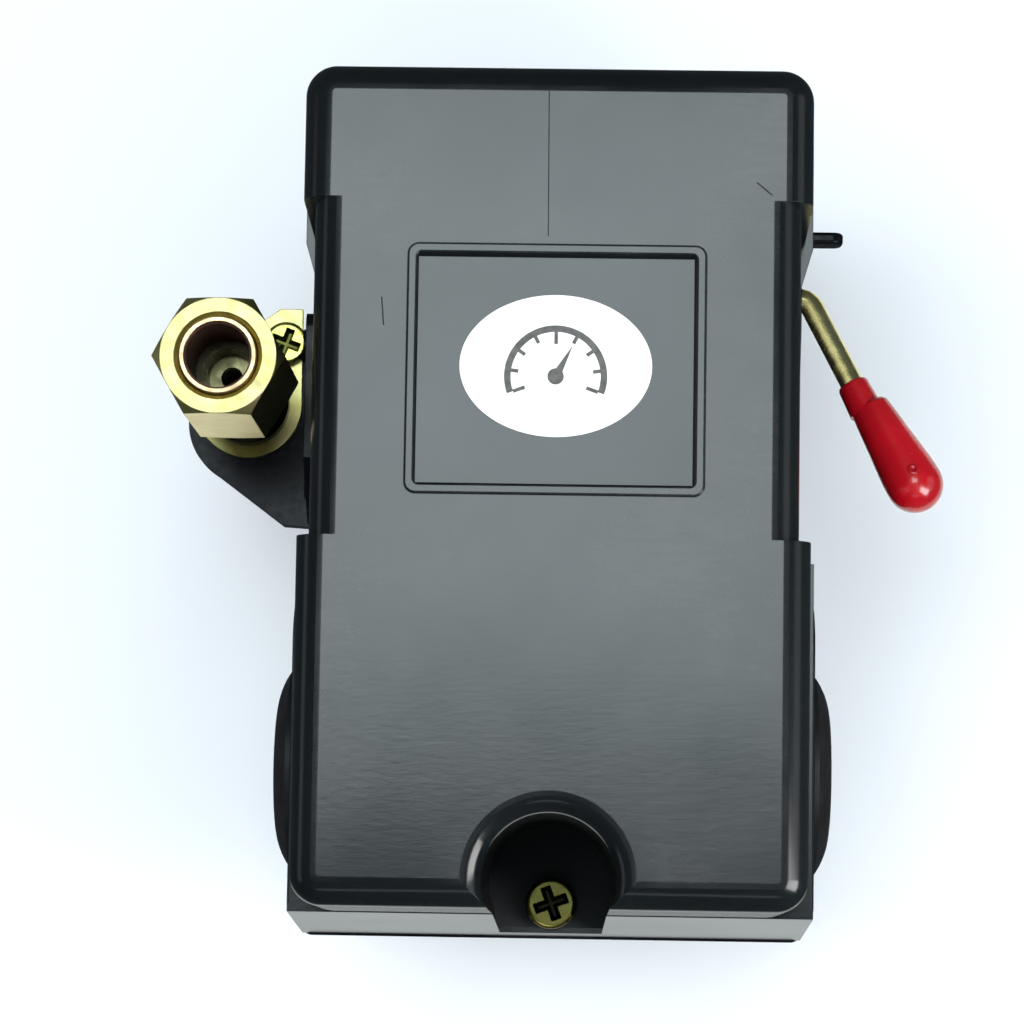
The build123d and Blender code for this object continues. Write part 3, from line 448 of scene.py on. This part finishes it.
# ---- tube joint: ferrule ring and tarnished bore ------------------------------------------------
def tube_joint():
    low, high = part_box("ferrule")
    centre = ((low.x + high.x) / 2, (low.y + high.y) / 2, 0)
    z0, z1 = low.z / MM, high.z / MM
    built = bmesh.new()
    mouth = [(4.84, z1 - 0.12), (4.74, z1), (4.24, z1), (4.15, z1 - 0.1), (4.09, z1 - 0.3)]
    lathe(built, [(4.08, z0), (4.9, z0), (4.9, z1 - 0.4), *mouth], centre, steps=128)
    finish_piece("ferrule_ring", built, looks["copper"], "housing", 15)
    built = bmesh.new()
    lathe(built, [(4.0, z0), (4.07, z0), (4.07, z1 - 0.4), (4.0, z1 - 0.4)], centre, steps=128)
    liner = finish_piece("ferrule_bore", built, dark_bore(), "housing")
    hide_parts("ferrule")


tube_joint()


# ---- lever: moulding mark on the grip ------------------------------------------------------------
def grip_mark():
    cap = nodes["lever_cap"]
    low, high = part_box("lever_cap")
    above = Vector((high.x - 4.25 * MM, low.y + 5.35 * MM, high.z + 20 * MM))
    to_local = cap.matrix_world.inverted()
    found, place, lean = cap.ray_cast(to_local @ above, to_local.to_3x3() @ Vector((0, 0, -1)))[:3]
    if not found:
        raise RuntimeError("the grip is not under its mark")
    place, lean = cap.matrix_world @ place, (cap.matrix_world.to_3x3() @ lean).normalized()
    built = bmesh.new()
    rim = [(0.78, -0.5), (0.78, 0.02), (0.66, 0.1), (0.5, 0.12), (0.42, 0.06)]
    lathe(built, [(0.02, -0.5), *rim, (0.02, 0.04)], place, lean, steps=32)
    finish_piece("grip_mould_mark", built, looks["red_vinyl"], "lever")


grip_mark()


# ---- pipe threads in the four ports ----------------------------------------------------------------
def port_threads():
    """A thread of trapezium section in each port, which fades out over its first and last turn."""
    pitch, depth, steps = 1.337, 0.34, 40
    root_half, crest_half = 0.42, 0.08
    lead_in, run_out = 0.9, 2.2
    for mount in frame["record"]["mounts"]:
        if mount["kind"] != "threaded_hole":
            continue
        axis = Vector(mount["axis"])
        radius = mount["dims"]["r_mm"]
        length = mount["dims"]["length_mm"]
        middle = Vector(mount["pos_m"])
        mouth = middle if mount["name"] == "main_port" else middle + axis * (length / 2 - 0.5) * MM
        turn = Vector((0, 0, 1)).rotation_difference(-axis).to_matrix()
        built = bmesh.new()
        rings = []
        last = int((length - run_out) / pitch) * steps
        for i in range(last + 1):
            angle = math.tau * i / steps
            run = lead_in + pitch * i / steps
            crest = radius - depth * min(1.0, i / steps, (last - i) / steps)
            root = radius - 0.01
            section = ((root, -root_half), (crest, -crest_half), (crest, crest_half), (root, root_half))
            spots = [Vector((r * math.cos(angle), r * math.sin(angle), run + h)) * MM for r, h in section]
            rings.append([built.verts.new(mouth + turn @ spot) for spot in spots])
        skin(built, rings)
        finish_piece(mount["name"] + "_thread", built, looks["cast_alloy"], "housing", 60)


port_threads()


# ---- coil springs at the rocker and the valve stem ------------------------------------------------
def working_spring(node, wire_r, turns):
    """A coil with closed, ground ends."""
    low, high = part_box(node)
    cx, cy = (low.x + high.x) / 2, (low.y + high.y) / 2
    wire = wire_r * MM
    coil_r = (high.x - low.x) / 2 - wire
    around, ring_steps = 36, 12
    end_rise = 2.1 * wire
    rise = (high.z - low.z - wire - 2 * end_rise) / (turns - 2)
    built = bmesh.new()
    rings = []
    for i in range(turns * around + 1):
        turn = i / around
        closed = min(turn, 1) + max(turn - turns + 1, 0)
        centre_z = low.z + wire / 2 + closed * end_rise + (turn - closed) * rise
        angle = math.tau * turn
        ring = []
        for k in range(ring_steps):
            swing = math.tau * k / ring_steps
            reach = coil_r + wire * math.cos(swing)
            z = min(max(centre_z + wire * math.sin(swing), low.z), high.z)
            ring.append(built.verts.new((cx + reach * math.cos(angle), cy + reach * math.sin(angle), z)))
        rings.append(ring)
    skin(built, rings)
    piece = finish_piece(node + "_coil", built, looks["spring_steel"], None, 50)
    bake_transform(piece)
    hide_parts(node)


working_spring("main_spring", 1.0, 7)
working_spring("differential_spring", 0.5, 9)
working_spring("valve_spring", 0.3, 9)


# ---- floor, lights, camera ---------------------------------------------------------------------
half = 3.0
floor_corners = [(-half, -half, 0), (half, -half, 0), (half, half, 0), (-half, half, 0)]
floor_mesh = bpy.data.meshes.new("floor")
floor_mesh.from_pydata(floor_corners, [], [(0, 1, 2, 3)])
floor_mesh.materials.append(Shader("floor", (0.835, 0.885, 0.93), roughness=0.9).material)
floor = bpy.data.objects.new("floor", floor_mesh)
floor.location = (0, 0, -0.5 * MM)
bpy.context.scene.collection.objects.link(floor)
floor.visible_glossy = False

world = bpy.data.worlds.new("studio")
bpy.context.scene.world = world
world.use_nodes = True
background = world.node_tree.nodes["Background"].inputs
background["Color"].default_value = (0.80, 0.93, 1.0, 1)
background["Strength"].default_value = 0.08


def area_light(name, place, aim, size, radiance, color=(1, 1, 1), glossy=True):
    """A rectangular lamp whose face has the given brightness."""
    data = bpy.data.lights.new(name, "AREA")
    data.shape = "RECTANGLE"
    data.size, data.size_y = size
    data.energy = radiance * math.pi * size[0] * size[1]
    data.color = color
    lamp = bpy.data.objects.new(name, data)
    lamp.location = place
    lamp.rotation_euler = (Vector(aim) - Vector(place)).to_track_quat("-Z", "Y").to_euler()
    lamp.visible_glossy = glossy
    lamp.visible_camera = False
    bpy.context.scene.collection.objects.link(lamp)
    return lamp


area_light("overhead", (-0.06, 0.24, 1.5), (-0.06, 0.24, 0), (0.50, 0.43), 6.1, (0.87, 1.0, 1.03))
area_light("ambient", (-0.3, -0.1, 1.5), (0, 0, 0), (2.6, 2.6), 1.55, (0.97, 0.98, 1), glossy=False)
area_light("key_left", (-0.5, 0.05, 1.3), (0, 0, 0), (0.6, 0.6), 4.6, glossy=False)
area_light("side_right", (0.9, 0.0, 0.5), (0, 0, 0.08), (0.8, 0.5), 0.6, (0.9, 0.95, 1))
area_light("side_left", (-1.0, -0.1, 0.35), (0, 0, 0.08), (0.7, 0.3), 0.55, (0.9, 0.95, 1))
area_light("front_card", (0, -1.0, 0.8), (0, -0.05, 0.09), (0.5, 0.12), 1.2, (0.9, 0.96, 1))
area_light("corner_glint", (0.14, -0.085, 0.18), (0, -0.05, 0.09), (0.07, 0.12), 9.0)


def light_only(lamp, names):
    """Keeps a lamp to some nodes of the model, and gives the collection that holds them."""
    receivers = bpy.data.collections.new(lamp.name + "_receivers")
    for name in names:
        receivers.objects.link(nodes[name])
    lamp.light_linking.receiver_collection = receivers
    return receivers


glow = area_light("floor_glow", (-0.02, 0, -0.3), (-0.02, 0, 1), (1.4, 1.4), 0.85, (1, 0.98, 0.94))
bright_slots = ("zinc_steel", "bright_steel", "brass", "copper", "red_vinyl", "cast_alloy")
light_only(glow, [name for name, slot in slot_of.items() if slot in bright_slots])
apron_glow = area_light("apron_glow", (0, -0.20, -0.3), (0, -0.20, 1), (0.5, 0.2), 0.72, (0.94, 1, 0.99))
light_only(apron_glow, ["cover"])
rod_light = area_light("rod_light", (-0.55, 0.3, 0.85), (0.04, 0.02, 0.06), (0.6, 0.6), 7.0, (1, 1, 0.85))
rod_light.light_linking.blocker_collection = light_only(rod_light, ["lever_rod"])
screw_glint = area_light("screw_glint", (-0.2, -0.7, 0.8), (0, -0.05, 0.05), (0.4, 0.4), 7.0, (1, 1, 0.85))
light_only(screw_glint, ["cover_screw"])

camera_data = bpy.data.cameras.new("camera")
camera_data.sensor_width = 36
camera_data.lens = 131.2
camera_data.clip_end = 20
camera = bpy.data.objects.new("camera", camera_data)
camera.location = (0.00384, -0.05874, 0.546)
camera.rotation_euler = Euler((0.1129, 0.0179, 0.0162))
bpy.context.scene.collection.objects.link(camera)
bpy.context.scene.camera = camera
bpy.context.scene.view_settings.view_transform = "Standard"
